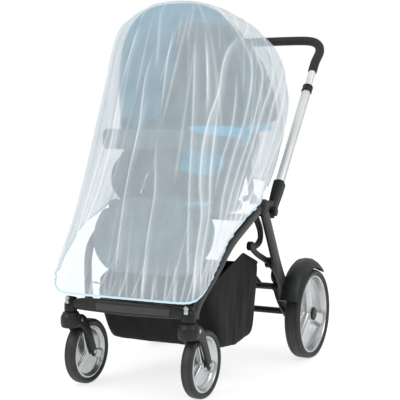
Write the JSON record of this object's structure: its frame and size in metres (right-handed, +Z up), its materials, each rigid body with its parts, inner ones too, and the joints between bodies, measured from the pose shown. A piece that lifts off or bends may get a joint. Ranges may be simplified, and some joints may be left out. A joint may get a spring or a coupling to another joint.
{
  "type": "mosquito net on stroller",
  "caption": "Sheer mosquito net with an elastic hem, draped in soft folds over the hood, seat and bumper of a stroller with swivelling front wheels and a sliding push handle.",
  "frame": {"origin": "on the floor, under the middle of the stroller's outline in plan", "axes": "+Z up, -Y towards the stroller's front, +X towards its left side as its rider sits"},
  "size_m": [0.616, 1.0123, 1.1533],
  "materials": {
    "net_cloth": "sheer fine mesh",
    "hem_elastic": "gathered elastic binding",
    "blue_cloth": "plain weave",
    "grey_cloth": "plain weave, padded",
    "black_cloth": "coated plain weave",
    "frame_paint": "satin dark grey",
    "black_plastic": "moulded, matt",
    "foam": "closed-cell foam sleeve",
    "bright_tube": "satin clear-coated",
    "silver_plastic": "silver paint, satin",
    "tyre_rubber": "matt"
  },
  "bodies": {
    "stroller": {"net_cover": "net_cloth", "hem_binding": "hem_elastic", "hood_shell": "grey_cloth", "hood_lining": "blue_cloth", "bumper_bar": "grey_cloth", "bumper_cuff": "blue_cloth", "seat_base": "grey_cloth", "backrest": "grey_cloth", "leg_rest": "grey_cloth", "side_wing_left": "grey_cloth", "side_wing_right": "grey_cloth", "hip_pad": "blue_cloth", "side_joint_left": "frame_paint", "side_joint_right": "frame_paint", "caster_post_left": "black_plastic", "caster_post_right": "black_plastic", "front_leg_left": "frame_paint", "front_leg_right": "frame_paint", "rear_leg_left": "frame_paint", "rear_leg_right": "frame_paint", "crossbar": "frame_paint", "seat_tube": "frame_paint", "rear_tube": "frame_paint", "rear_axle": "black_plastic", "fold_strut_left": "black_plastic", "fold_strut_right": "black_plastic", "axle_plate_left": "black_plastic", "axle_plate_right": "black_plastic", "seat_frame_left": "black_plastic", "seat_frame_right": "black_plastic", "push_tube_left": "bright_tube", "push_tube_right": "bright_tube", "push_collar_left": "black_plastic", "push_collar_right": "black_plastic", "basket": "black_cloth", "basket_hook_left": "black_cloth", "basket_hook_right": "black_cloth", "basket_strap_left": "black_cloth", "basket_strap_right": "black_cloth", "mudguard_left": "black_plastic", "mudguard_right": "black_plastic"},
    "handle": {"inner_tube_left": "bright_tube", "inner_tube_right": "bright_tube", "grip": "foam"},
    "rear_wheel_left": {"rear_tyre_left": "tyre_rubber", "rear_rim_left": "silver_plastic", "hub_cap_left": "black_plastic"},
    "rear_wheel_right": {"rear_tyre_right": "tyre_rubber", "rear_rim_right": "silver_plastic", "hub_cap_right": "black_plastic"},
    "front_wheel_left": {"front_tyre_left": "tyre_rubber", "front_rim_left": "silver_plastic"},
    "front_wheel_right": {"front_tyre_right": "tyre_rubber", "front_rim_right": "silver_plastic"},
    "front_caster_left": {"caster_fork_left": "black_plastic"},
    "front_caster_right": {"caster_fork_right": "black_plastic"}
  },
  "joints": [
    {"name": "front_swivel_left", "type": "hinge", "parent": "stroller", "child": "front_caster_left", "pos_m": [0.195, -0.47, 0.2], "axis": [0, 0, 1], "continuous": true},
    {"name": "front_spin_left", "type": "hinge", "parent": "front_caster_left", "child": "front_wheel_left", "pos_m": [0.193, -0.39, 0.0975], "axis": [1, 0, 0], "continuous": true},
    {"name": "rear_spin_left", "type": "hinge", "parent": "stroller", "child": "rear_wheel_left", "pos_m": [0.279, 0.228, 0.1475], "axis": [1, 0, 0], "continuous": true},
    {"name": "front_swivel_right", "type": "hinge", "parent": "stroller", "child": "front_caster_right", "pos_m": [-0.195, -0.47, 0.2], "axis": [0, 0, 1], "continuous": true},
    {"name": "front_spin_right", "type": "hinge", "parent": "front_caster_right", "child": "front_wheel_right", "pos_m": [-0.193, -0.39, 0.0975], "axis": [1, 0, 0], "continuous": true},
    {"name": "rear_spin_right", "type": "hinge", "parent": "stroller", "child": "rear_wheel_right", "pos_m": [-0.279, 0.228, 0.1475], "axis": [1, 0, 0], "continuous": true},
    {"name": "handle_slide", "type": "slide", "parent": "stroller", "child": "handle", "axis": [0, 0.617, 0.787], "range_m": [-0.055, 0.05]}
  ]
}
